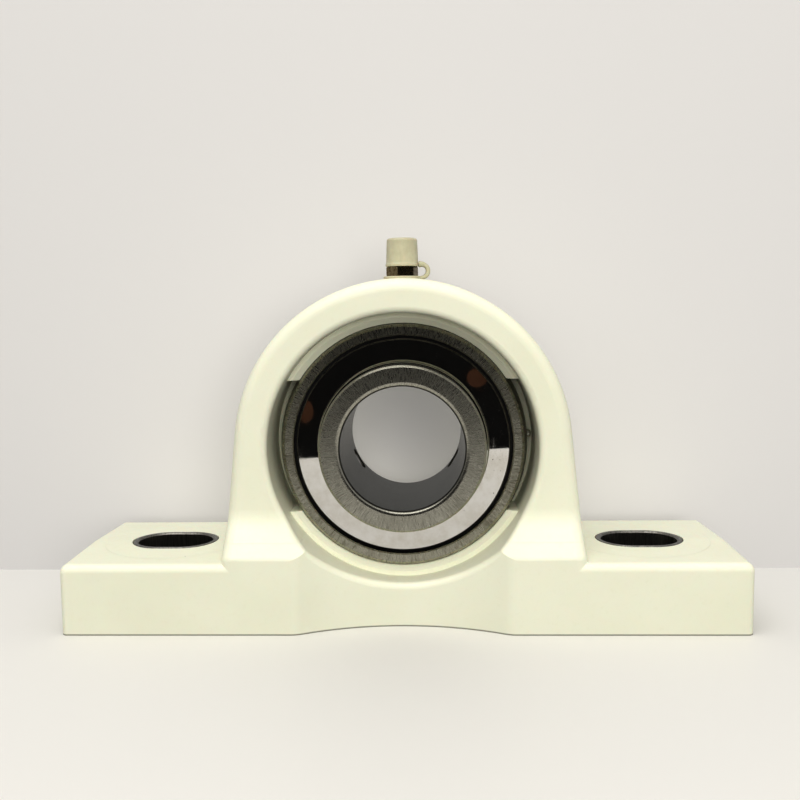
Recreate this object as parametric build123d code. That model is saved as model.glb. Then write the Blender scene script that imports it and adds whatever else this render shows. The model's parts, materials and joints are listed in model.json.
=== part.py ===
"""Pillow block bearing for a 30 mm shaft: a moulded thermoplastic housing, a self-aligning insert ball
bearing, steel bolt bushes, and a grease nipple with a tethered plastic cap.

Millimetres. The shaft axis runs along Y, 42.9 mm above the mounting plane z = 0. The origin is on that
plane, under the middle of the bearing. The loading slots are at the front (-Y), the set screws at the rear.
"""
from build123d import *
import math
import os

# Standard sizes of the block
AXIS_HEIGHT = 42.9
BASE_DEPTH = 46.0
BOLT_SPACING = 119.0
BOLT_SLOT = (19.0, 14.0)
SHAFT_R = 15.0

# Insert bearing
SPHERE_R = 31.0
OUTER_HALF_WIDTH = 9.5
INNER_FRONT = -15.9
INNER_REAR = 22.2
INNER_OD_R = 20.1
PITCH_R = 23.0
BALL_R = 9.525 / 2
BALL_COUNT = 9
BALL_GAP = 0.05
INNER_GROOVE_R = 4.90
OUTER_GROOVE_R = 4.95
OUTER_LAND_R = 26.0
SEAL_GROOVE_R = 27.7
OUTER_MOUTH_R = 26.9
RING_EDGE = 0.5
BORE_ROUND = 1.1

# Sheet parts of the bearing, given as distances from the bearing's middle plane
SEAL_SEAT = 6.4
SEAL_GROOVE_END = 7.4
FLINGER_R = 26.2
FLINGER_INNER_FACE = 8.7
FLINGER_OUTER_FACE = 9.2
FLINGER_COLLAR_END = 11.4
FLINGER_COLLAR_R = 20.7
FLINGER_BEND = 0.35
CAGE_BAND = (21.4, 24.6)
CAGE_SHEET = 0.75
CAGE_POCKET_R = 5.0
RIVET_R = 0.8
RIVET_HEAD_R = 1.35
RIVET_HEAD_HEIGHT = 0.6

# Set screws, in the wide rear end of the inner ring
SCREW_Y = 17.2
SCREW_ANGLES = {"left": 210.0, "right": -30.0}
SCREW_HOLE_R = 3.0
SCREW_R = 2.92
SCREW_TIP_RADIUS = 15.35
SCREW_LENGTH = 5.8
SCREW_SOCKET = 3.0
SCREW_SOCKET_DEPTH = 3.0

# Anti-rotation pin, in the right-hand loading slot
PIN_ANGLE = 3.1
PIN_R = 1.0
PIN_HOLE_R = 1.05
PIN_INNER_END = 28.95
PIN_TIP = 32.1
PIN_DOME = 0.5

# Grease path in the outer ring
GREASE_GROOVE_Y = 4.6
GREASE_GROOVE_WIDTH = 2.4
GREASE_GROOVE_FLOOR = 30.25
GREASE_HOLE_R = 0.75
GREASE_HOLE_ANGLES = (60.0, 120.0)

# Housing
CROWN_R = 41.0
SIDE_FLARE = 6.0
DRAFT = 2.0
FACE_Y = 16.8
FACE_EDGE_R = 3.0
LEDGE_Z = 18.2
SLOPE_TOP_Z = 26.2
SLOPE_BLEND_R = 7.0
LEDGE_EDGE_R = 1.4
FOOT_HALF_LENGTH = 81.5
FOOT_END_DRAFT = 0.2
FOOT_HEIGHT = 17.35
FOOT_TOP_DRAFT = 0.45
FOOT_CORNER_R = 1.5
FOOT_TOP_EDGE_R = 1.9
WAIST_Y = 16.5
WAIST_HALF_CHORD = 25.1
WAIST_BLEND_R = 6.0
SEAT_R = 31.1
SEAT_HALF_WIDTH = 8.4
LIP_FACE_Y = 9.7
LIP_CHAMFER_R = 31.3
RECESS_R = 32.4
RECESS_EDGE_R = 1.5
SLOT_HALF_HEIGHT = 16.2
SLOT_DEPTH = 2.25
EJECTOR_X = (-72.0, -40.0, -16.0, 16.0, 40.0, 72.0)
EJECTOR_Y = 9.0
EJECTOR_R = 3.0
EJECTOR_DEPTH = 0.3

# Bolt bushes
BUSH_WALL = 1.5
BUSH_GAP = 0.02
BUSH_EDGE = 0.4

# Grease nipple, its cap and the cap's tether
SPOT_Z = 83.5
SPOT_R = 6.0
THREAD_HOLE_R = 3.0
THREAD_R = 2.96
THREAD_END_Z = 78.2
TAPPED_DEPTH_Z = 77.4
DUCT_R = 1.25
TETHER_THICK = 0.8
TETHER_STRAP_THICK = 0.76
HEX_FLATS = 7.0
HEX_HEIGHT = 2.3
NIPPLE_TOP_Z = 92.3
NIPPLE_HEAD_R = 3.25
NIPPLE_HEAD_Z = 90.2
NIPPLE_NECK_R = 2.3
NIPPLE_BORE_R = 0.8
NIPPLE_CHAMBER_R = 1.35
NIPPLE_CHAMBER_Z = (85.5, 91.0)
NIPPLE_MOUTH_R = 0.75
CHECK_BALL_R = 1.2
CHECK_BALL_GAP = 0.02
SPRING_WIRE_R = 0.14
SPRING_COIL_R = 0.98
SPRING_TURNS = 5.5
CAP_BASE_R = 4.0
CAP_TOP_R = 3.8
CAP_TOP_Z = 93.65
CAP_CAVITY_R = 3.35
CAP_CAVITY_TOP_Z = 92.6
CAP_EDGE_R = 0.7
CAP_RIM_R = 4.15
CAP_RIM_HEIGHT = 0.7
CAP_RIM_EDGE_R = 0.2
CAP_GAP = 0.06
TETHER_RING_R = 4.7
TETHER_HALF_WIDTH = 1.5
TETHER_GAP = 0.05
TETHER_LOOP_X = 5.1

HALF_DEPTH = BASE_DEPTH / 2
HEX_BASE_Z = SPOT_Z + TETHER_THICK
HEX_TOP_Z = HEX_BASE_Z + HEX_HEIGHT
CAP_BASE_Z = HEX_TOP_Z + CAP_GAP
AXIS = Pos(0, 0, AXIS_HEIGHT)
FAR = 120.0


def turned(points):
    """Solid turned about the shaft axis from (radius, y) points."""
    return AXIS * revolve(make_face(Polyline(*points, close=True)), Axis.Y)


def post(radius, foot, height):
    """Upright round post on the nipple's axis, standing at a height."""
    return Pos(0, 0, foot) * Cylinder(radius, height, align=(Align.CENTER, Align.CENTER, Align.MIN))


def turned_about_z(points):
    """Solid turned about the nipple's axis from (radius, z) points."""
    return revolve(Plane.XZ * make_face(Polyline(*points, close=True)), Axis.Z)


def mirrored(points, side):
    """(radius, distance) points moved to the front (side -1) or the rear (side 1)."""
    return [(r, side * y) for r, y in points]


def around_shaft(angle):
    """Location on the shaft axis whose local X points outward at an angle above +X."""
    return AXIS * Rot(0, -angle, 0)


def radial_rod(radius, start, end, angle, y=0.0):
    """Round rod that points outward from the shaft axis, from one distance to another."""
    rod = Rot(0, 90, 0) * Cylinder(radius, end - start, align=(Align.CENTER, Align.CENTER, Align.MIN))
    return around_shaft(angle) * Pos(start, y, 0) * rod


def torus_about_shaft(major, minor):
    return AXIS * Rot(90, 0, 0) * Torus(major, minor)


def ball_location(index):
    return around_shaft(90.0 + index * 360.0 / BALL_COUNT) * Pos(PITCH_R, 0, 0)


def circles(shape):
    return [e for e in shape.edges() if e.geom_type == GeomType.CIRCLE]


def near(shape_list, point):
    """The vertex or edge whose centre is closest to a point."""
    return min(shape_list, key=lambda item: (item.center() - Vector(*point)).length)


# ---- housing ----

def bell_half():
    """Front half of the arch over the bearing and its legs, with draft and rounded front edges."""
    flare = math.radians(SIDE_FLARE)
    tangent = (CROWN_R * math.cos(flare), AXIS_HEIGHT + CROWN_R * math.sin(flare))
    below = -5.0
    foot_x = tangent[0] + (tangent[1] - below) * math.tan(flare)
    outline = [
        Line((-foot_x, below), (-tangent[0], tangent[1])),
        ThreePointArc((-tangent[0], tangent[1]), (0, AXIS_HEIGHT + CROWN_R), tangent),
        Line(tangent, (foot_x, below)),
        Line((foot_x, below), (-foot_x, below)),
    ]
    bell = extrude(Plane.XZ * make_face(outline), amount=HALF_DEPTH + 1, taper=DRAFT)
    side = [
        (1, below), (-HALF_DEPTH, below), (-HALF_DEPTH, LEDGE_Z),
        (-FACE_Y, SLOPE_TOP_Z), (-FACE_Y, FAR), (1, FAR),
    ]
    side_face = make_face(Polyline(*side, close=True))
    side_face = fillet(near(side_face.vertices(), (-FACE_Y, SLOPE_TOP_Z, 0)), SLOPE_BLEND_R)
    bell &= extrude(Plane.YZ * side_face, amount=FAR, both=True)
    rim = [
        e for e in bell.edges()
        if max(v.Y for v in e.vertices()) < -FACE_Y + 0.5
        and e.bounding_box().size.Z > 0.5
    ]
    bell = fillet(rim, FACE_EDGE_R)
    ledge = [
        e for e in bell.edges()
        if abs(e.center().Z - LEDGE_Z) < 0.1
        and e.bounding_box().size.Z < 0.1
        and e.center().Y < -FACE_Y - 1
    ]
    return fillet(ledge, LEDGE_EDGE_R)


def foot_half():
    """Front half of the foot plate. Its top and ends fall away from the middle plane by the draft."""
    below = -5.0
    front_height = FOOT_HEIGHT - FOOT_TOP_DRAFT
    section = [(0, below), (-HALF_DEPTH, below), (-HALF_DEPTH, front_height), (0, FOOT_HEIGHT)]
    plate = extrude(Plane.YZ * make_face(Polyline(*section, close=True)), amount=FAR, both=True)
    end = FOOT_HALF_LENGTH - FOOT_END_DRAFT
    plan = [(-FOOT_HALF_LENGTH, 0), (-end, -HALF_DEPTH), (end, -HALF_DEPTH), (FOOT_HALF_LENGTH, 0)]
    plate &= Pos(0, 0, below) * extrude(make_face(Polyline(*plan, close=True)), amount=FAR)
    corners = [near(plate.edges(), (side * end, -HALF_DEPTH, FOOT_HEIGHT / 2)) for side in (-1, 1)]
    plate = fillet(corners, FOOT_CORNER_R)
    top = [
        e for e in plate.edges()
        if min(v.Z for v in e.vertices()) > FOOT_HEIGHT - 2 * FOOT_TOP_DRAFT and e.center().Y < -1
    ]
    return fillet(top, FOOT_TOP_EDGE_R)


def waist_cutter():
    """Prism in front of the foot plate: an upright hollow with softened shoulders."""
    sagitta = HALF_DEPTH - WAIST_Y
    radius = (WAIST_HALF_CHORD**2 + sagitta**2) / (2 * sagitta)
    front = Pos(0, -HALF_DEPTH - 10) * Rectangle(100, 20)
    plan = front + Pos(0, -WAIST_Y - radius) * Circle(radius)
    shoulders = [near(plan.vertices(), (side * WAIST_HALF_CHORD, -HALF_DEPTH, 0)) for side in (-1, 1)]
    plan = fillet(shoulders, WAIST_BLEND_R)
    return Pos(0, 0, -10) * extrude(plan, amount=SLOPE_TOP_Z + 12)


def seat_cutter():
    """Everything turned out of the housing: two recesses, two lips and the spherical seat."""
    lip_r = math.sqrt(SEAT_R**2 - SEAT_HALF_WIDTH**2)
    profile = [
        Polyline(
            (lip_r, -SEAT_HALF_WIDTH), (LIP_CHAMFER_R, -LIP_FACE_Y), (RECESS_R, -LIP_FACE_Y),
            (RECESS_R, -FAR), (0, -FAR), (0, FAR), (RECESS_R, FAR),
            (RECESS_R, LIP_FACE_Y), (LIP_CHAMFER_R, LIP_FACE_Y), (lip_r, SEAT_HALF_WIDTH),
        ),
        ThreePointArc((lip_r, SEAT_HALF_WIDTH), (SEAT_R, 0), (lip_r, -SEAT_HALF_WIDTH)),
    ]
    return AXIS * revolve(make_face(profile), Axis.Y)


def slot_cutter():
    """Loading slots on the left and right of the seat, open to the front."""
    reach = Pos(0, SLOT_DEPTH, 0) * Rot(90, 0, 0) * Cylinder(
        RECESS_R, SLOT_DEPTH + LIP_FACE_Y + 1, align=(Align.CENTER, Align.CENTER, Align.MIN))
    return AXIS * (reach & Box(FAR, FAR, 2 * SLOT_HALF_HEIGHT))


def bush_outline(extra=0.0):
    margin = 2 * (BUSH_WALL + extra)
    return SlotOverall(BOLT_SLOT[0] + margin, BOLT_SLOT[1] + margin)


def housing():
    quarter = bell_half() + foot_half()
    quarter &= Box(FAR, FAR, FAR, align=(Align.MIN, Align.MAX, Align.MIN))
    quarter -= waist_cutter()
    half = quarter + mirror(quarter, about=Plane.YZ)
    block = half + mirror(half, about=Plane.XZ)
    block -= seat_cutter()
    rims = [
        e for e in block.edges()
        if abs(e.center().Y) > LIP_FACE_Y + 2
        and all(abs(math.hypot(v.X, v.Z - AXIS_HEIGHT) - RECESS_R) < 0.05 for v in e.vertices())
        and abs(e.bounding_box().size.Z) > 1
    ]
    block = fillet(rims, RECESS_EDGE_R)
    block -= slot_cutter()
    hole = extrude(bush_outline(BUSH_GAP), amount=FAR)
    for side in (-1, 1):
        block -= Pos(side * BOLT_SPACING / 2, 0, -1) * hole
    block -= post(SPOT_R, SPOT_Z, 10)
    block -= post(THREAD_HOLE_R, TAPPED_DEPTH_Z, 10)
    block -= post(DUCT_R, AXIS_HEIGHT + SEAT_R / 2, SEAT_R)
    link_length = GREASE_GROOVE_Y + GREASE_GROOVE_WIDTH / 2 + DUCT_R
    link = Box(2 * DUCT_R, link_length, 2, align=(Align.CENTER, Align.MIN, Align.CENTER))
    block -= Pos(0, -DUCT_R, AXIS_HEIGHT + SEAT_R - 0.2) * link
    for x in EJECTOR_X:
        for spot in (Pos(x, -EJECTOR_Y, 0), Pos(x, EJECTOR_Y, 0)):
            block -= spot * Cylinder(EJECTOR_R, 2 * EJECTOR_DEPTH)
    return block


def bolt_bush(side):
    tube = extrude(bush_outline() - SlotOverall(*BOLT_SLOT), amount=FOOT_HEIGHT)
    ends = [e for e in tube.edges() if e.bounding_box().size.Z < 0.01]
    return Pos(side * BOLT_SPACING / 2, 0, 0) * chamfer(ends, BUSH_EDGE)


# ---- insert bearing ----

def outer_ring():
    w = OUTER_HALF_WIDTH
    half = [
        (OUTER_LAND_R, 0), (OUTER_LAND_R, SEAL_SEAT), (SEAL_GROOVE_R, SEAL_SEAT),
        (SEAL_GROOVE_R, SEAL_GROOVE_END), (OUTER_MOUTH_R, SEAL_GROOVE_END),
        (OUTER_MOUTH_R, w - 0.3), (OUTER_MOUTH_R + 0.3, w),
    ]
    blank = turned(half + [(SPHERE_R + 1, w), (SPHERE_R + 1, -w)] + mirrored(half[:0:-1], -1))
    ring = blank & (AXIS * Sphere(SPHERE_R))
    ring = chamfer([e for e in circles(ring) if e.radius > OUTER_MOUTH_R + 1], RING_EDGE)
    ring -= torus_about_shaft(PITCH_R + BALL_R + BALL_GAP - OUTER_GROOVE_R, OUTER_GROOVE_R)
    low, high = GREASE_GROOVE_Y - GREASE_GROOVE_WIDTH / 2, GREASE_GROOVE_Y + GREASE_GROOVE_WIDTH / 2
    floor = GREASE_GROOVE_FLOOR
    ring -= turned([(floor, low), (SPHERE_R + 1, low), (SPHERE_R + 1, high), (floor, high)])
    for angle in GREASE_HOLE_ANGLES:
        ring -= radial_rod(GREASE_HOLE_R, OUTER_LAND_R - 1, SPHERE_R, angle, GREASE_GROOVE_Y)
    return ring - radial_rod(PIN_HOLE_R, PIN_INNER_END - 0.1, SPHERE_R + 1, PIN_ANGLE)


def anti_rotation_pin():
    """Small pin pressed into the outer ring, with a domed tip."""
    shoulder = PIN_TIP - PIN_DOME
    dome_r = (PIN_R**2 + PIN_DOME**2) / (2 * PIN_DOME)
    half_angle = math.asin(PIN_R / dome_r) / 2
    bend = (dome_r * math.sin(half_angle), PIN_TIP - dome_r * (1 - math.cos(half_angle)))
    profile = [
        Polyline((0, PIN_TIP), (0, PIN_INNER_END), (PIN_R, PIN_INNER_END), (PIN_R, shoulder)),
        ThreePointArc((PIN_R, shoulder), bend, (0, PIN_TIP)),
    ]
    pin = revolve(Plane.XZ * make_face(profile), Axis.Z)
    return around_shaft(PIN_ANGLE) * Rot(0, 90, 0) * pin


def inner_ring():
    front, rear = INNER_FRONT, INNER_REAR
    ring = turned([(SHAFT_R, front), (INNER_OD_R, front), (INNER_OD_R, rear), (SHAFT_R, rear)])
    ring = fillet([e for e in circles(ring) if e.radius < SHAFT_R + 1], BORE_ROUND)
    ring = chamfer([e for e in circles(ring) if abs(e.radius - INNER_OD_R) < 0.01], RING_EDGE)
    ring -= torus_about_shaft(PITCH_R - BALL_R - BALL_GAP + INNER_GROOVE_R, INNER_GROOVE_R)
    for angle in SCREW_ANGLES.values():
        ring -= radial_rod(SCREW_HOLE_R, SHAFT_R - 3, INNER_OD_R + 2, angle, SCREW_Y)
    return ring


def set_screw(angle):
    """Socket set screw with a cup point, drawn with its thread at the outside diameter."""
    tip_cone, cup_r, cup_depth = 1.0, 1.5, 0.7
    profile = [
        (0, cup_depth), (cup_r, 0), (SCREW_R - tip_cone, 0), (SCREW_R, tip_cone),
        (SCREW_R, SCREW_LENGTH - 0.4), (SCREW_R - 0.4, SCREW_LENGTH), (0, SCREW_LENGTH),
    ]
    screw = revolve(Plane.XZ * make_face(Polyline(*profile, close=True)), Axis.Z)
    socket_r = SCREW_SOCKET / math.sqrt(3)
    screw -= Pos(0, 0, SCREW_LENGTH - SCREW_SOCKET_DEPTH) * extrude(RegularPolygon(socket_r, 6), amount=10)
    return around_shaft(angle) * Pos(SCREW_TIP_RADIUS, SCREW_Y, 0) * Rot(0, 90, 0) * screw


def ball(index):
    return ball_location(index) * Sphere(BALL_R)


def cage_half(side):
    """Pressed ribbon half: a flat band with a spherical pocket over each ball."""
    inner, outer = CAGE_BAND
    band = turned([(inner, 0), (outer, 0), (outer, side * CAGE_SHEET), (inner, side * CAGE_SHEET)])
    reach = CAGE_POCKET_R + CAGE_SHEET + 1
    room = turned([(inner, 0), (outer, 0), (outer, side * reach), (inner, side * reach)])
    half = band
    for i in range(BALL_COUNT):
        half += room & (ball_location(i) * Rot(90, 0, 0) * Sphere(CAGE_POCKET_R + CAGE_SHEET))
    for i in range(BALL_COUNT):
        half -= ball_location(i) * Rot(90, 0, 0) * Sphere(CAGE_POCKET_R)
        half -= rivet_location(i) * Rot(90, 0, 0) * Cylinder(RIVET_R + 0.02, 4)
    return half


def rivet_location(index):
    return around_shaft(90.0 + (index + 0.5) * 360.0 / BALL_COUNT) * Pos(sum(CAGE_BAND) / 2, 0, 0)


def cage_rivet(index):
    """Rivet between two balls, with a low head at each end."""
    under, top = CAGE_SHEET + 0.01, CAGE_SHEET + 0.01 + RIVET_HEAD_HEIGHT
    half = [
        (RIVET_R, under), (RIVET_HEAD_R, under), (RIVET_HEAD_R, top - 0.3),
        (RIVET_HEAD_R - 0.5, top), (0, top),
    ]
    lower = mirrored(half[::-1], -1)
    return rivet_location(index) * revolve(make_face(Polyline(*half, *lower, close=True)), Axis.Y)


def seal_core(side):
    inner, outer, low, high = 21.6, 26.5, 6.75, 7.25
    return turned(mirrored([(inner, low), (outer, low), (outer, high), (inner, high)], side))


def seal_rubber(side):
    """Rubber moulded on the core, with a bead in the outer ring's groove and a lip at the inner ring."""
    section = [
        (26.52, 6.5), (27.65, 6.5), (27.65, 7.33), (26.85, 7.36), (26.8, 7.7), (21.5, 7.7), (21.0, 8.3),
        (20.45, 8.35), (20.25, 8.0), (20.75, 7.2), (20.75, 6.8), (21.58, 6.8), (21.58, 7.27), (26.52, 7.27),
    ]
    return turned(mirrored(section, side))


def flinger(side):
    """Pressed sheet disc on the inner ring, with a collar outside and a turned-in rim."""
    sheet = FLINGER_OUTER_FACE - FLINGER_INNER_FACE
    bore = INNER_OD_R + 0.02
    section = [
        (bore, FLINGER_INNER_FACE), (FLINGER_R - sheet, FLINGER_INNER_FACE), (FLINGER_R - sheet, 8.25),
        (FLINGER_R, 8.25), (FLINGER_R, FLINGER_OUTER_FACE - FLINGER_BEND),
        (FLINGER_R - FLINGER_BEND, FLINGER_OUTER_FACE),
        (FLINGER_COLLAR_R + FLINGER_BEND, FLINGER_OUTER_FACE),
        (FLINGER_COLLAR_R, FLINGER_OUTER_FACE + FLINGER_BEND),
        (FLINGER_COLLAR_R, FLINGER_COLLAR_END - 0.2), (FLINGER_COLLAR_R - 0.2, FLINGER_COLLAR_END),
        (bore, FLINGER_COLLAR_END),
    ]
    return turned(mirrored(section, side))


# ---- grease nipple ----

def grease_nipple():
    cone_top = NIPPLE_CHAMBER_Z[1] + NIPPLE_CHAMBER_R - NIPPLE_MOUTH_R
    body = turned_about_z([
        (0, THREAD_END_Z), (THREAD_R - 0.5, THREAD_END_Z), (THREAD_R, THREAD_END_Z + 0.5),
        (THREAD_R, HEX_TOP_Z), (NIPPLE_NECK_R + 0.5, HEX_TOP_Z), (NIPPLE_NECK_R, HEX_TOP_Z + 0.5),
        (NIPPLE_NECK_R, NIPPLE_HEAD_Z - 1.3), (NIPPLE_HEAD_R - 0.15, NIPPLE_HEAD_Z - 0.35),
        (NIPPLE_HEAD_R, NIPPLE_HEAD_Z), (NIPPLE_HEAD_R - 0.1, NIPPLE_HEAD_Z + 0.4),
        (2.2, NIPPLE_TOP_Z - 0.15), (1.9, NIPPLE_TOP_Z), (0, NIPPLE_TOP_Z),
    ])
    hexagon = extrude(RegularPolygon(HEX_FLATS / math.sqrt(3), 6, rotation=15), amount=HEX_HEIGHT)
    corner_r = HEX_FLATS / math.sqrt(3)
    crown = turned_about_z([
        (0, HEX_BASE_Z), (corner_r - 0.25, HEX_BASE_Z), (corner_r + 0.2, HEX_BASE_Z + 0.35),
        (corner_r + 0.2, HEX_TOP_Z - 0.35), (corner_r - 0.25, HEX_TOP_Z), (0, HEX_TOP_Z),
    ])
    body += (Pos(0, 0, HEX_BASE_Z) * hexagon) & crown
    return body - turned_about_z([
        (0, THREAD_END_Z - 1), (NIPPLE_BORE_R, THREAD_END_Z - 1), (NIPPLE_BORE_R, NIPPLE_CHAMBER_Z[0]),
        (NIPPLE_CHAMBER_R, NIPPLE_CHAMBER_Z[0]), (NIPPLE_CHAMBER_R, NIPPLE_CHAMBER_Z[1]),
        (NIPPLE_MOUTH_R, cone_top), (NIPPLE_MOUTH_R, NIPPLE_TOP_Z + 1), (0, NIPPLE_TOP_Z + 1),
    ])


def check_ball_centre():
    """Height at which the ball rests against the 45 degree cone under the nipple's mouth."""
    return NIPPLE_CHAMBER_Z[1] + NIPPLE_CHAMBER_R - math.sqrt(2) * (CHECK_BALL_R + CHECK_BALL_GAP)


def check_ball():
    return Pos(0, 0, check_ball_centre()) * Sphere(CHECK_BALL_R)


def check_spring():
    low = NIPPLE_CHAMBER_Z[0] + SPRING_WIRE_R + 0.02
    contact = math.sqrt((CHECK_BALL_R + SPRING_WIRE_R + 0.03) ** 2 - SPRING_COIL_R**2)
    high = check_ball_centre() - contact
    path = Helix(pitch=(high - low) / SPRING_TURNS, height=high - low, radius=SPRING_COIL_R)
    start = Plane(origin=path @ 0, z_dir=path % 0)
    return Pos(0, 0, low) * sweep(start * Circle(SPRING_WIRE_R), path=path, is_frenet=True)


def grease_cap():
    cap = turned_about_z([
        (CAP_CAVITY_R, CAP_BASE_Z), (CAP_RIM_R, CAP_BASE_Z), (CAP_RIM_R, CAP_BASE_Z + CAP_RIM_HEIGHT),
        (CAP_BASE_R, CAP_BASE_Z + CAP_RIM_HEIGHT + 0.2), (CAP_TOP_R, CAP_TOP_Z), (0, CAP_TOP_Z),
        (0, CAP_CAVITY_TOP_Z), (CAP_CAVITY_R, CAP_CAVITY_TOP_Z),
    ])
    cap = fillet([e for e in circles(cap) if abs(e.center().Z - CAP_TOP_Z) < 0.01], CAP_EDGE_R)
    return fillet([e for e in circles(cap) if abs(e.radius - CAP_RIM_R) < 0.01], CAP_RIM_EDGE_R)


def cap_tether():
    """Ring under the nipple's hexagon, with a strap that loops up to the cap's wall."""
    low, high = SPOT_Z + TETHER_THICK / 2, CAP_BASE_Z + CAP_RIM_HEIGHT / 2
    start, loop, radius = TETHER_RING_R - 1, TETHER_LOOP_X, (high - low) / 2
    path = [
        Line((start, low), (loop, low)),
        ThreePointArc((loop, low), (loop + radius, low + radius), (loop, high)),
        Line((loop, high), (CAP_RIM_R - 0.5, high)),
    ]
    across = Plane(origin=(start, 0, low), x_dir=(0, 1, 0), z_dir=(1, 0, 0))
    strap = across * Rectangle(2 * TETHER_HALF_WIDTH, TETHER_STRAP_THICK)
    band = sweep(strap, path=Plane.XZ * Wire(path))
    band -= post(CAP_RIM_R + TETHER_GAP, CAP_BASE_Z - 1, 10)
    return post(TETHER_RING_R, SPOT_Z, TETHER_THICK) + band - post(THREAD_R + TETHER_GAP, SPOT_Z - 1, 3)


def parts():
    """Every sub-part, by the name of its node."""
    made = {
        "housing": housing(),
        "bolt_bush_left": bolt_bush(-1),
        "bolt_bush_right": bolt_bush(1),
        "outer_ring": outer_ring(),
        "anti_rotation_pin": anti_rotation_pin(),
        "inner_ring": inner_ring(),
        "cage_front": cage_half(-1),
        "cage_rear": cage_half(1),
        "grease_nipple": grease_nipple(),
        "nipple_check_ball": check_ball(),
        "nipple_spring": check_spring(),
        "grease_cap": grease_cap(),
        "cap_tether": cap_tether(),
    }
    for name, side in (("front", -1), ("rear", 1)):
        made[f"seal_core_{name}"] = seal_core(side)
        made[f"seal_rubber_{name}"] = seal_rubber(side)
        made[f"flinger_{name}"] = flinger(side)
    for name, angle in SCREW_ANGLES.items():
        made[f"set_screw_{name}"] = set_screw(angle)
    for i in range(BALL_COUNT):
        made[f"ball_{i + 1}"] = ball(i)
        made[f"cage_rivet_{i + 1}"] = cage_rivet(i)
    return made


if __name__ == "__main__":
    os.makedirs("parts", exist_ok=True)
    for node, shape in parts().items():
        export_step(shape, f"parts/{node}.step")
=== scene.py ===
"""Looks of the pillow block bearing: CAD materials, the cap with its strap, the valve spring and the stage.

Metres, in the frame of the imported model: the shaft axis runs along Y, and z = 0 is the mounting plane.
Shaders work in millimetres, and those of the two ring steels in circles about the shaft axis.
"""
import json
import math

import bmesh
import bpy
from mathutils import Matrix, Vector


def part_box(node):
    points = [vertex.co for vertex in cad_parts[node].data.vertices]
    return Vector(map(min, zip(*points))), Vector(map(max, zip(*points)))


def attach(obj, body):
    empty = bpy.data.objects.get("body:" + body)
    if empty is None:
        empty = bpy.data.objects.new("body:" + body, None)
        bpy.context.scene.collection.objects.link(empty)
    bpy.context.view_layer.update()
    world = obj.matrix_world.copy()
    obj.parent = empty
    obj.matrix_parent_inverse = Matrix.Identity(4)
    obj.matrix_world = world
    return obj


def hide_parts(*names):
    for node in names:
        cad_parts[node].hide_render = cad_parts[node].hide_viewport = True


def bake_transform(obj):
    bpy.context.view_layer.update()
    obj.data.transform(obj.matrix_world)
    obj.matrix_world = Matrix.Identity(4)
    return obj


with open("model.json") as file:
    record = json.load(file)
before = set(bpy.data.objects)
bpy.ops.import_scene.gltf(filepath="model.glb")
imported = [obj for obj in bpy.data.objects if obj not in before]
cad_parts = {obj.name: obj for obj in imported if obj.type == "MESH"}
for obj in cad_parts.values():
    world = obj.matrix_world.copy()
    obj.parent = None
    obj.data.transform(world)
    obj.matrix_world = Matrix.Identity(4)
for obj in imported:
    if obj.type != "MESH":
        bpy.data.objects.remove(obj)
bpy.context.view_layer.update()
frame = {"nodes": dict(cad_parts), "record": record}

MM = 0.001


def box_mm(node):
    low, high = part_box(node)
    return low / MM, high / MM


# ---- places in millimetres, read from the frame ----

RING_LOW, RING_HIGH = box_mm("inner_ring")
AXIS_Z = (RING_LOW.z + RING_HIGH.z) / 2
CAP_LOW, CAP_HIGH = box_mm("grease_cap")
TETHER_LOW, TETHER_HIGH = box_mm("cap_tether")
BUSH_X = sum(corner.x for corner in box_mm("bolt_bush_right")) / 2

# ---- sizes in millimetres that no box gives ----

RING_BORE_R = 15.0
BUSH_WITNESS_R = 17.2
STRAP_RING_BORE_R = 3.02
SPRING_WIRE_R = 0.14

# ---- stage, camera and lamps: places in metres, angles in degrees ----

STAGE_REACH = 4
WALL_Y = 0.033
DARK_CARD_ENDS = (-0.4, -0.165), (0.4, -0.377)
DARK_CARD_HEIGHT = 0.26
WARM_CARDS = {
    "left": ((-0.057, -0.25, 0.0247), 0.004, 0.006),
    "right": ((0.0312, -0.274, 0.0393), 0.0055, 0.005),
}
CAMERA_X, CAMERA_Y, CAMERA_ABOVE_AXIS = 0.0072, -0.2335, 0.0335
CAMERA_PITCH, CAMERA_YAW, CAMERA_ROLL = 5.67, -2.0, -0.69
FOCAL_LENGTH_MM = 41.7
LAMP_COLOUR = (1.0, 0.99, 0.955)


# ---- a short way to write node trees ----

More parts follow.
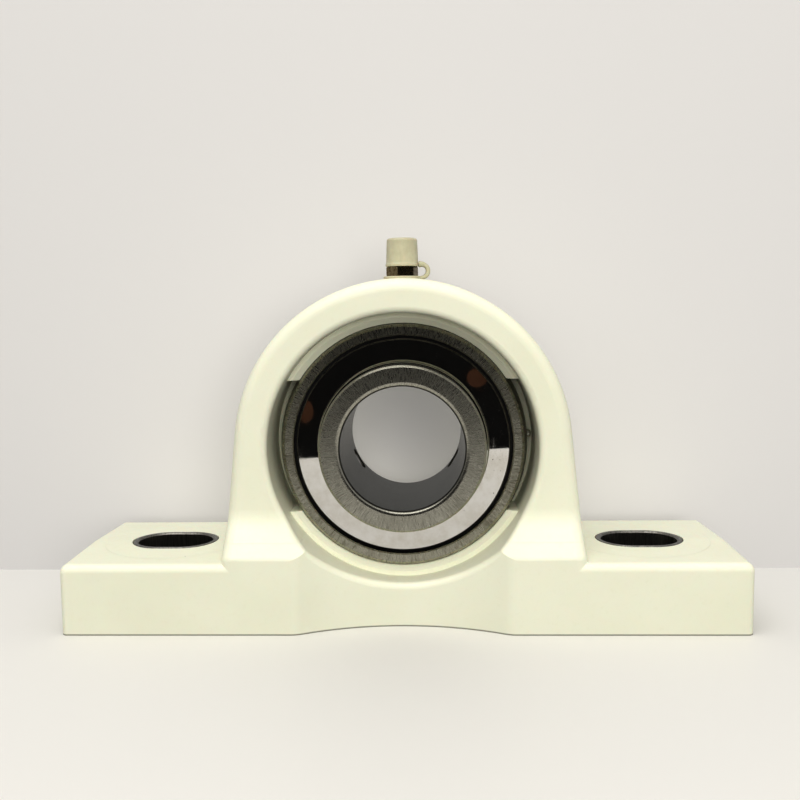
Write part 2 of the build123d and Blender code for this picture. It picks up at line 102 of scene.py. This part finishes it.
class Graph:
    """One Principled material. Sockets have Blender's names; a value is a number, a tuple or a socket."""

    def __init__(self, name, **constants):
        self.material = bpy.data.materials.new(name)
        self.material.use_nodes = True
        self.tree = self.material.node_tree
        self.shader = next(n for n in self.tree.nodes if n.type == "BSDF_PRINCIPLED")
        self.point = None
        for socket, value in constants.items():
            self.set(socket.replace("_", " "), value)

    def _feed(self, socket, value):
        if isinstance(value, bpy.types.NodeSocket):
            self.tree.links.new(value, socket)
        elif socket.type == "RGBA" and len(value) == 3:
            socket.default_value = (*value, 1)
        else:
            socket.default_value = value

    def set(self, socket, value):
        self._feed(self.shader.inputs[socket], value)

    def node(self, kind, inputs, **settings):
        made = self.tree.nodes.new(kind)
        for key, value in settings.items():
            setattr(made, key, value)
        for key, value in inputs.items():
            self._feed(made.inputs[key], value)
        return made

    def math(self, operation, *values):
        return self.node("ShaderNodeMath", dict(enumerate(values)), operation=operation).outputs[0]

    def place(self):
        """The surface point in millimetres, as a vector socket."""
        if self.point is None:
            where = self.node("ShaderNodeTexCoord", {}).outputs["Object"]
            scale = {0: where, "Scale": 1 / MM}
            self.point = self.node("ShaderNodeVectorMath", scale, operation="SCALE").outputs[0]
        return self.point

    def parts(self, vector=None):
        """The x, y and z sockets of a vector, or of the surface point."""
        split = self.node("ShaderNodeSeparateXYZ", {0: vector or self.place()})
        return split.outputs[0], split.outputs[1], split.outputs[2]

    def vector(self, x, y, z):
        return self.node("ShaderNodeCombineXYZ", {0: x, 1: y, 2: z}).outputs[0]

    def normal_y(self):
        """1 on faces square to the shaft, 0 on surfaces round it."""
        normal = self.node("ShaderNodeTexCoord", {}).outputs["Normal"]
        return self.math("ABSOLUTE", self.parts(normal)[1])

    def radius(self):
        """Distance from the shaft axis in millimetres, then x, y and the height above the axis."""
        x, y, z = self.parts()
        up = self.math("SUBTRACT", z, AXIS_Z)
        square = self.math("ADD", self.math("MULTIPLY", x, x), self.math("MULTIPLY", up, up))
        return self.math("MAXIMUM", self.math("SQRT", square), 0.001), x, y, up

    def rings(self, around, along_radius, along_axis):
        """Vector for noise in rings about the shaft: cells per radian, per mm outwards and per mm along."""
        radius, x, y, up = self.radius()
        across = self.math("MULTIPLY", self.math("DIVIDE", x, radius), around)
        above = self.math("MULTIPLY", self.math("DIVIDE", up, radius), around)
        outwards = self.math("MULTIPLY", radius, along_radius)
        along = self.math("MULTIPLY", y, along_axis)
        return self.vector(across, self.math("ADD", outwards, along), above)

    def noise(self, vector, scale=1.0, detail=3.0, roughness=0.5):
        inputs = {"Vector": vector, "Scale": scale, "Detail": detail, "Roughness": roughness}
        return self.node("ShaderNodeTexNoise", inputs).outputs[0]

    def remap(self, value, low, high, to_low=0.0, to_high=1.0):
        """Smooth step from to_low to to_high as the value goes from low to high."""
        inputs = {"Value": value, "From Min": low, "From Max": high, "To Min": to_low, "To Max": to_high}
        return self.node("ShaderNodeMapRange", inputs, interpolation_type="SMOOTHSTEP").outputs[0]

    def mix(self, factor, first, second):
        mixer = self.node("ShaderNodeMix", {}, data_type="RGBA")
        for index, value in ((0, factor), (6, first), (7, second)):
            self._feed(mixer.inputs[index], value)
        return mixer.outputs[2]

    def blend(self, factor, first, second):
        """Number between first and second."""
        return self.math("ADD", self.math("MULTIPLY", factor, self.math("SUBTRACT", second, first)), first)

    def specks(self, cell, radius, share):
        """1 inside sparse round specks: cell size and speck radius in mm, and the share of cells with one."""
        cells = self.node("ShaderNodeTexVoronoi", {"Vector": self.place(), "Scale": 1 / cell})
        inside = self.math("LESS_THAN", cells.outputs["Distance"], radius / cell)
        chosen = self.math("LESS_THAN", self.parts(cells.outputs["Color"])[0], share)
        return self.math("MULTIPLY", inside, chosen)

    def bump(self, height_mm):
        """Raises the surface by a height in millimetres."""
        inputs = {"Height": height_mm, "Distance": MM, "Strength": 1.0}
        self.set("Normal", self.node("ShaderNodeBump", inputs).outputs[0])


# ---- materials ----

def moulded_housing():
    """Cream moulding with dark specks, a parting line, a witness ring round each bush and painted contact
    shadow along the bottom of the base.
    """
    g = Graph("moulded_housing", Subsurface_Weight=0.08, Subsurface_Scale=0.001, IOR=1.5)
    x, y, z = g.parts()
    cloud = g.noise(g.place(), 0.045, 4)
    mottle = g.noise(g.place(), 0.9, 3)
    colour = g.mix(g.remap(cloud, 0.3, 0.7), (0.845, 0.843, 0.695), (0.870, 0.868, 0.725))
    colour = g.mix(g.remap(mottle, 0.55, 0.75, 0.0, 0.25), colour, (0.820, 0.812, 0.655))
    specks_and_base_shade = g.specks(6.0, 0.17, 0.22)
    # Real dark flecks in the moulding, plus painted contact shadow that darkens the lowest half millimetre
    # where the base meets the floor.
    specks_and_base_shade = g.math("MAXIMUM", g.math("MULTIPLY", specks_and_base_shade, 0.85), g.remap(z, 0.1, 0.45, 0.75, 0.0))
    colour = g.mix(specks_and_base_shade, colour, (0.06, 0.05, 0.035))
    g.set("Base Color", colour)
    g.set("Roughness", g.remap(mottle, 0.3, 0.7, 0.38, 0.5))
    split = g.remap(g.math("ABSOLUTE", y), 0.0, 0.16, 0.035, 0.0)
    side = g.math("SUBTRACT", g.math("ABSOLUTE", x), BUSH_X)
    ring = g.math("SQRT", g.math("ADD", g.math("MULTIPLY", side, side), g.math("MULTIPLY", y, y)))
    step = g.remap(ring, BUSH_WITNESS_R, BUSH_WITNESS_R + 0.4, 0.0, 0.07)
    on_foot = g.math("LESS_THAN", z, AXIS_Z / 2)
    waves = g.math("MULTIPLY", g.noise(g.place(), 0.07, 2), 0.12)
    grain = g.math("MULTIPLY", g.noise(g.place(), 1.6, 4), 0.009)
    height = g.math("ADD", split, g.math("MULTIPLY", step, on_foot))
    g.bump(g.math("ADD", g.math("ADD", waves, grain), height))
    return g.material


def steel(name, colour, dark, roughness, face_lay, round_lay, depth, tarnish=0.35, bore_radius=0.0):
    """Machined steel: strokes across its faces, fine lines round its cylinders, tarnish and painted shade
    that darkens the bore.

    face_lay and round_lay are the cells of rings(), and depth is the height of the marks in millimetres.
    """
    g = Graph(name, Metallic=1.0)
    strokes = g.noise(g.rings(*face_lay), 1.0, 4, 0.62)
    lines = g.noise(g.rings(*round_lay), 1.0, 4, 0.6)
    lay = g.blend(g.remap(g.normal_y(), 0.6, 0.8), lines, strokes)
    stain = g.noise(g.place(), 0.16, 5, 0.6)
    tint = g.mix(g.remap(stain, 0.45, 0.75, 0.0, tarnish), colour, dark)
    tint = g.mix(g.remap(lay, 0.32, 0.5, 0.55, 0.0), tint, dark)
    in_bore = g.remap(g.radius()[0], bore_radius, bore_radius + 0.5, 1.0, 0.0)
    # Painted shade: inside the bore the colour drops to a quarter of the dark tint.
    tint = g.mix(in_bore, tint, tuple(0.25 * c for c in dark))
    g.set("Base Color", g.mix(g.math("MULTIPLY", g.specks(2.6, 0.1, 0.25), 0.7), tint, dark))
    dull = g.remap(lay, 0.3, 0.7, roughness + 0.08, roughness - 0.05)
    g.set("Roughness", g.math("ADD", dull, g.math("MULTIPLY", in_bore, 0.1)))
    g.bump(g.math("MULTIPLY", lay, depth))
    return g.material


def flinger_steel():
    """Bright pressed sheet, almost a mirror, with smears, pits and a few fine scratches."""
    g = Graph("flinger_steel", Metallic=1.0)
    smear = g.noise(g.place(), 0.22, 5, 0.65)
    slanted = {"Vector": g.place(), "Rotation": (0, 0.7, 0), "Scale": (9, 1, 0.35)}
    long_way = g.node("ShaderNodeMapping", slanted).outputs[0]
    scratch = g.remap(g.noise(long_way, 1.0, 2), 0.69, 0.73)
    pits = g.specks(1.8, 0.13, 0.35)
    colour = g.mix(g.remap(smear, 0.35, 0.7), (0.72, 0.71, 0.69), (0.63, 0.61, 0.57))
    g.set("Base Color", g.mix(g.math("MULTIPLY", pits, 0.8), colour, (0.12, 0.10, 0.08)))
    dull = g.math("ADD", g.remap(smear, 0.45, 0.8, 0.02, 0.08), g.math("MULTIPLY", scratch, 0.12))
    g.set("Roughness", dull)
    waves = g.math("MULTIPLY", g.noise(g.place(), 0.1, 1), 0.006)
    g.bump(g.math("SUBTRACT", waves, g.math("MULTIPLY", pits, 0.004)))
    return g.material


def seal_rubber():
    g = Graph("seal_rubber", IOR=1.5)
    grain = g.noise(g.place(), 3.0, 4)
    g.set("Base Color", g.mix(grain, (0.006, 0.006, 0.006), (0.016, 0.015, 0.014)))
    g.set("Roughness", g.remap(grain, 0.3, 0.7, 0.5, 0.68))
    g.bump(g.math("MULTIPLY", grain, 0.01))
    return g.material


def plain_metal(name, colour, dark, roughness, grain_scale=(1, 1, 1)):
    """Small metal parts, with a grain that grain_scale can stretch along an axis."""
    g = Graph(name, Metallic=1.0)
    stretched = g.node("ShaderNodeMapping", {"Vector": g.place(), "Scale": grain_scale}).outputs[0]
    grain = g.noise(stretched, 1.4, 4, 0.6)
    g.set("Base Color", g.mix(g.remap(grain, 0.35, 0.7), colour, dark))
    g.set("Roughness", g.remap(grain, 0.3, 0.7, roughness - 0.05, roughness + 0.1))
    g.bump(g.math("MULTIPLY", grain, 0.006))
    return g.material


def cap_plastic():
    """Soft beige polyethylene, a little translucent, with faint drag marks from the mould."""
    g = Graph("cap_plastic", Subsurface_Weight=0.08, Subsurface_Scale=0.001, IOR=1.5)
    marks = g.node("ShaderNodeMapping", {"Vector": g.place(), "Scale": (2.4, 2.4, 0.25)}).outputs[0]
    drag = g.noise(marks, 1.0, 4, 0.6)
    cloud = g.noise(g.place(), 0.5, 3)
    colour = g.mix(g.remap(cloud, 0.3, 0.7), (0.560, 0.530, 0.385), (0.610, 0.585, 0.435))
    g.set("Base Color", g.mix(g.remap(drag, 0.5, 0.75, 0.0, 0.4), colour, (0.50, 0.465, 0.325)))
    g.set("Roughness", g.remap(drag, 0.3, 0.7, 0.34, 0.5))
    g.bump(g.math("MULTIPLY", drag, 0.02))
    return g.material


def dress_cad_nodes():
    """Gives each CAD node the material of its slot in the record, and returns the materials by slot."""
    made = {
        "moulded_housing": moulded_housing(),
        "ground_ring_steel": steel(
            "ground_ring_steel", (0.44, 0.43, 0.37), (0.13, 0.11, 0.07), 0.28,
            (95, 0.55, 0), (3, 0, 22), 0.03),
        "turned_ring_steel": steel(
            "turned_ring_steel", (0.46, 0.45, 0.40), (0.20, 0.19, 0.15), 0.27,
            (110, 0.5, 0), (2.5, 0, 30), 0.015, tarnish=0.25, bore_radius=RING_BORE_R),
        "flinger_steel": flinger_steel(),
        "seal_rubber": seal_rubber(),
        "bush_steel": plain_metal("bush_steel", (0.30, 0.29, 0.27), (0.16, 0.15, 0.14), 0.34, (2, 2, 0.15)),
        "pin_steel": plain_metal("pin_steel", (0.80, 0.79, 0.76), (0.60, 0.59, 0.56), 0.18),
        "cage_steel": plain_metal("cage_steel", (0.48, 0.46, 0.43), (0.33, 0.31, 0.28), 0.3),
        "rivet_steel": plain_metal("rivet_steel", (0.52, 0.50, 0.47), (0.36, 0.34, 0.31), 0.28),
        "seal_core_steel": plain_metal("seal_core_steel", (0.42, 0.41, 0.40), (0.30, 0.29, 0.28), 0.36),
        "ball_steel": plain_metal("ball_steel", (0.72, 0.72, 0.72), (0.66, 0.66, 0.65), 0.08),
        "screw_steel": plain_metal("screw_steel", (0.40, 0.39, 0.38), (0.22, 0.21, 0.20), 0.32, (3, 3, 3)),
        "nipple_plate": plain_metal("nipple_plate", (0.34, 0.28, 0.17), (0.14, 0.10, 0.05), 0.22),
        "spring_steel": plain_metal("spring_steel", (0.45, 0.45, 0.44), (0.30, 0.30, 0.29), 0.28),
        "cap_plastic": cap_plastic(),
    }
    for part in frame["record"]["subparts"]:
        node = frame["nodes"][part["node"]]
        node.data.materials.clear()
        node.data.materials.append(made[part["material_slot"]])
    return made


# ---- the cap, its strap and the valve spring ----

def mesh_object(name, builder, material):
    """Smooth-shaded object from a bmesh, which is used up."""
    mesh = bpy.data.meshes.new(name)
    builder.to_mesh(mesh)
    builder.free()
    mesh.polygons.foreach_set("use_smooth", [True] * len(mesh.polygons))
    mesh.materials.append(material)
    piece = bpy.data.objects.new(name, mesh)
    bpy.context.scene.collection.objects.link(piece)
    return piece


def lathe(profile):
    """Solid turned about the nipple's axis from (radius, z) points in millimetres.

    The points start and end on the axis, or end where they started; there the two edges meet unwelded.
    """
    segments = 96
    b = bmesh.new()
    rings = []
    for radius, z in profile:
        if radius < 1e-6:
            rings.append([b.verts.new((0, 0, z * MM))])
            continue
        reach = radius * MM
        angles = [2 * math.pi * i / segments for i in range(segments)]
        rings.append([b.verts.new((reach * math.cos(a), reach * math.sin(a), z * MM)) for a in angles])
    for lower, upper in zip(rings, rings[1:]):
        for i in range(segments):
            j = (i + 1) % segments
            below = [lower[i % len(lower)], lower[j % len(lower)]]
            above = [upper[j % len(upper)], upper[i % len(upper)]]
            b.faces.new(list(dict.fromkeys(below + above)))
    bmesh.ops.recalc_face_normals(b, faces=b.faces)
    return b


def arc(centre, radius, start, end, steps=8):
    """Points on an arc, with angles in degrees."""
    angles = [math.radians(start + (end - start) * i / steps) for i in range(steps + 1)]
    return [(centre[0] + radius * math.cos(a), centre[1] + radius * math.sin(a)) for a in angles]


def cap_piece(material):
    """Slightly tapered hollow cap with a soft top edge, a gate dimple and a bead round its mouth."""
    base, top, rim = CAP_LOW.z, CAP_HIGH.z, CAP_HIGH.x
    wall, lid, bore = rim - 0.15, rim - 0.35, rim - 0.8
    dimple, shoulder, bead, lip = 0.35, 0.7, 0.2, 0.15
    roof = top - 1.05
    profile = [(0, top - dimple)]
    profile += arc((0, top), dimple, -90, 0, 4)[1:-1] + [(0.45, top - 0.02), (1.2, top)]
    profile += [(lid - shoulder, top - 0.02)]
    profile += arc((lid - shoulder, top - 0.02 - shoulder), shoulder, 90, 4, 8)[1:]
    profile += [(lid + 0.05, top - 2.0), (wall - 0.03, base + 1.3), (wall, base + 0.95)]
    profile += arc((rim - bead, base + 0.55), bead, 60, 0, 4)
    profile += arc((rim - bead, base + bead), bead, 0, -90, 4)
    profile += arc((rim - 0.65, base + lip), lip, -90, -180, 4)
    profile += [(bore, base + 0.6), (bore, top - 1.25), (rim - 1.1, roof), (0, roof)]
    piece = mesh_object("grease_cap_shell", lathe(profile), material)
    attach(piece, "cap")
    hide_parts("grease_cap")


def strap_line():
    """Points (x, z) along the strap's middle, from its ring to the cap."""
    low = TETHER_LOW.z + 0.4
    high = CAP_LOW.z + 0.55
    radius = (high - low) / 2
    bend_x = TETHER_HIGH.x - 0.6 - radius
    run = [(x, low) for x in (3.3, 3.8, 4.3, bend_x - 0.2)]
    bend = arc((bend_x, low + radius), radius, -90, 90, 18)
    back = [(bend_x - 0.25, high), (CAP_HIGH.x - 0.05, high)]
    return run + bend + back


def skin(sections):
    """Closed solid through a row of point loops in millimetres."""
    b = bmesh.new()
    loops = [[b.verts.new(point * MM) for point in loop] for loop in sections]
    for first, second in zip(loops, loops[1:]):
        for k in range(len(first)):
            n = (k + 1) % len(first)
            b.faces.new((first[k], first[n], second[n], second[k]))
    b.faces.new(loops[0][::-1])
    b.faces.new(loops[-1])
    bmesh.ops.recalc_face_normals(b, faces=b.faces)
    return b


def spring_piece(material):
    """Valve spring in the nipple, with closed end coils."""
    low, high = box_mm("nipple_spring")
    wire = SPRING_WIRE_R
    coil = high.x - wire
    turns, end_turns, steps, sides = 6.5, 0.6, 260, 12
    sections = []
    for i in range(steps + 1):
        share = i / steps
        climb = min(max((share * turns - end_turns) / (turns - 2 * end_turns), 0.0), 1.0)
        angle = 2 * math.pi * turns * share
        out = Vector((math.cos(angle), math.sin(angle), 0))
        middle = out * coil + Vector((0, 0, low.z + wire + climb * (high.z - low.z - 2 * wire)))
        turned = [2 * math.pi * k / sides for k in range(sides)]
        sections.append([middle + wire * (math.cos(a) * out + Vector((0, 0, math.sin(a)))) for a in turned])
    spring = mesh_object("nipple_spring_wire", skin(sections), material)
    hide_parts("nipple_spring")
    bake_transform(spring)


def strap_piece(material):
    """The strap that loops up to the cap and, as a second piece, its flat ring under the hexagon."""
    line = strap_line()
    sides = 16
    widest, narrowing = 1.45, 0.35
    thinnest, gain, swell = 0.36, 0.22, 0.2
    sections = []
    for i, (x, z) in enumerate(line):
        ahead, behind = line[min(i + 1, len(line) - 1)], line[max(i - 1, 0)]
        along = Vector((ahead[0] - behind[0], 0, ahead[1] - behind[1])).normalized()
        out = Vector((along.z, 0, -along.x))
        share = i / (len(line) - 1)
        half = widest - narrowing * math.sin(math.pi * share)
        thick = thinnest + gain * min(1.0, 2.5 * share) + swell * max(0.0, share - 0.8) / 0.2
        ring = []
        for k in range(sides):
            a = 2 * math.pi * k / sides
            c, s = math.cos(a), math.sin(a)
            flat = math.copysign(abs(c) ** 0.6, c) * half
            proud = math.copysign(abs(s) ** 0.8, s) * thick
            ring.append(Vector((x, flat, z)) + out * proud)
        sections.append(ring)
    strap = mesh_object("cap_strap", skin(sections), material)
    low = TETHER_LOW.z
    edge = -TETHER_LOW.x
    inner = STRAP_RING_BORE_R
    profile = arc((edge - 0.25, low + 0.27), 0.25, -90, 0, 4)
    profile += arc((edge - 0.25, low + 0.53), 0.25, 0, 90, 4)
    profile += arc((inner + 0.1, low + 0.68), 0.1, 90, 180, 3)
    profile += arc((inner + 0.1, low + 0.12), 0.1, 180, 270, 3)
    washer = mesh_object("cap_strap_ring", lathe(profile + profile[:1]), material)
    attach(washer, "housing_body")
    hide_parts("cap_tether")
    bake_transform(strap)


# ---- stage ----

def plane(name, corners, material):
    """One flat face on the stage."""
    mesh = bpy.data.meshes.new(name)
    mesh.from_pydata(corners, [], [tuple(range(len(corners)))])
    mesh.materials.append(material)
    made = bpy.data.objects.new(name, mesh)
    bpy.context.scene.collection.objects.link(made)
    return made


def pale_surface(name, colour, roughness):
    """Graph of a plain surface with very faint clouds."""
    g = Graph(name)
    cloud = g.noise(g.place(), 0.004, 3)
    shade = tuple(0.97 * c for c in colour)
    g.set("Base Color", g.mix(cloud, colour, shade))
    g.set("Roughness", roughness)
    return g


def one_sided(g):
    """The material shows on its front only, so a camera behind it sees through."""
    out = next(n for n in g.tree.nodes if n.type == "OUTPUT_MATERIAL")
    behind = g.node("ShaderNodeNewGeometry", {}).outputs["Backfacing"]
    clear = g.node("ShaderNodeBsdfTransparent", {}).outputs[0]
    mixed = g.node("ShaderNodeMixShader", {0: behind, 1: g.shader.outputs[0], 2: clear})
    g.tree.links.new(mixed.outputs[0], out.inputs[0])
    return g.material


def only_in_reflections(card):
    """The card is seen in shiny surfaces and nowhere else, and throws no shadow."""
    card.visible_camera = False
    card.visible_diffuse = False
    card.visible_shadow = False


def make_stage():
    """Floor, a wall behind that only the camera sees, and cards that only reflections show."""
    table = pale_surface("floor", (0.83, 0.815, 0.79), 0.55).material
    far = STAGE_REACH
    floor = plane("floor", [(-far, -far, 0), (far, -far, 0), (far, far, 0), (-far, far, 0)], table)
    floor.visible_diffuse = False
    wall = pale_surface("backdrop", (0.64, 0.625, 0.615), 0.7)
    wall.set("Emission Color", (0.75, 0.74, 0.72))
    wall.set("Emission Strength", 0.2)
    corners = [(-far, WALL_Y, 0), (far, WALL_Y, 0), (far, WALL_Y, far), (-far, WALL_Y, far)]
    back = plane("backdrop", corners, one_sided(wall))
    back.visible_diffuse = False
    back.visible_shadow = False
    back.visible_glossy = False
    dark = Graph("dark_card", Base_Color=(0.004, 0.0035, 0.003), Roughness=1.0).material
    (left, right), height = DARK_CARD_ENDS, DARK_CARD_HEIGHT
    corners = [(*left, 0), (*right, 0), (*right, height), (*left, height)]
    only_in_reflections(plane("dark_card", corners, dark))
    warm = Graph("warm_card", Base_Color=(0.15, 0.065, 0.03), Roughness=0.8).material
    for name, ((x, y, z), wide, tall) in WARM_CARDS.items():
        angles = [2 * math.pi * i / 32 for i in range(32)]
        edge = [(x + wide * math.cos(a), y, z + tall * math.sin(a)) for a in angles]
        only_in_reflections(plane(f"warm_card_{name}", edge, warm))


def area_light(name, place, aim, size, power, colour):
    """Disk lamp that faces a point."""
    light = bpy.data.lights.new(name, "AREA")
    light.shape = "DISK"
    light.size = size
    light.energy = power
    light.color = colour
    lamp = bpy.data.objects.new(name, light)
    lamp.location = place
    lamp.rotation_euler = (Vector(place) - Vector(aim)).to_track_quat("Z", "Y").to_euler()
    bpy.context.scene.collection.objects.link(lamp)
    return lamp


def make_lights():
    """Soft light from above and from the front, and a pale sky that is dimmer below the horizon."""
    middle = (0, 0, AXIS_Z * MM)
    area_light("ceiling", (-0.12, -0.32, 0.8), middle, 0.8, 2.8, LAMP_COLOUR)
    front = area_light("front_fill", (0.12, -0.85, 0.22), middle, 0.6, 4.05, LAMP_COLOUR)
    front.visible_glossy = False
    world = bpy.data.worlds.new("studio")
    world.use_nodes = True
    nodes, links = world.node_tree.nodes, world.node_tree.links
    sky = next(n for n in nodes if n.type == "BACKGROUND")
    sky.inputs["Color"].default_value = (1.0, 0.99, 0.965, 1)
    split = nodes.new("ShaderNodeSeparateXYZ")
    links.new(nodes.new("ShaderNodeTexCoord").outputs["Generated"], split.inputs[0])
    height = nodes.new("ShaderNodeMapRange")
    for socket, value in (("From Min", -0.1), ("From Max", 0.1), ("To Min", 0.24), ("To Max", 0.7)):
        height.inputs[socket].default_value = value
    links.new(split.outputs[2], height.inputs["Value"])
    links.new(height.outputs[0], sky.inputs["Strength"])
    bpy.context.scene.world = world
    bpy.context.scene.view_settings.view_transform = "Standard"
    bpy.context.scene.view_settings.gamma = 0.75


def make_camera():
    """Close view, a little above the shaft and 7 mm to its right, turned slightly left and down."""
    pitch, yaw, roll = (math.radians(angle) for angle in (CAMERA_PITCH, CAMERA_YAW, CAMERA_ROLL))
    ahead = Vector((math.sin(yaw) * math.cos(pitch), math.cos(yaw) * math.cos(pitch), -math.sin(pitch)))
    level = Vector((math.cos(yaw), -math.sin(yaw), 0))
    above = level.cross(ahead)
    right = math.cos(roll) * level + math.sin(roll) * above
    up = math.cos(roll) * above - math.sin(roll) * level
    data = bpy.data.cameras.new("camera")
    data.sensor_width = 36
    data.lens = FOCAL_LENGTH_MM
    data.clip_start = 0.01
    camera = bpy.data.objects.new("camera", data)
    turn = Matrix((right, up, -ahead)).transposed().to_4x4()
    turn.translation = Vector((CAMERA_X, CAMERA_Y, AXIS_Z * MM + CAMERA_ABOVE_AXIS))
    camera.matrix_world = turn
    bpy.context.scene.collection.objects.link(camera)
    bpy.context.scene.camera = camera


materials = dress_cad_nodes()
cap_piece(materials["cap_plastic"])
strap_piece(materials["cap_plastic"])
spring_piece(materials["spring_steel"])
make_stage()
make_lights()
make_camera()
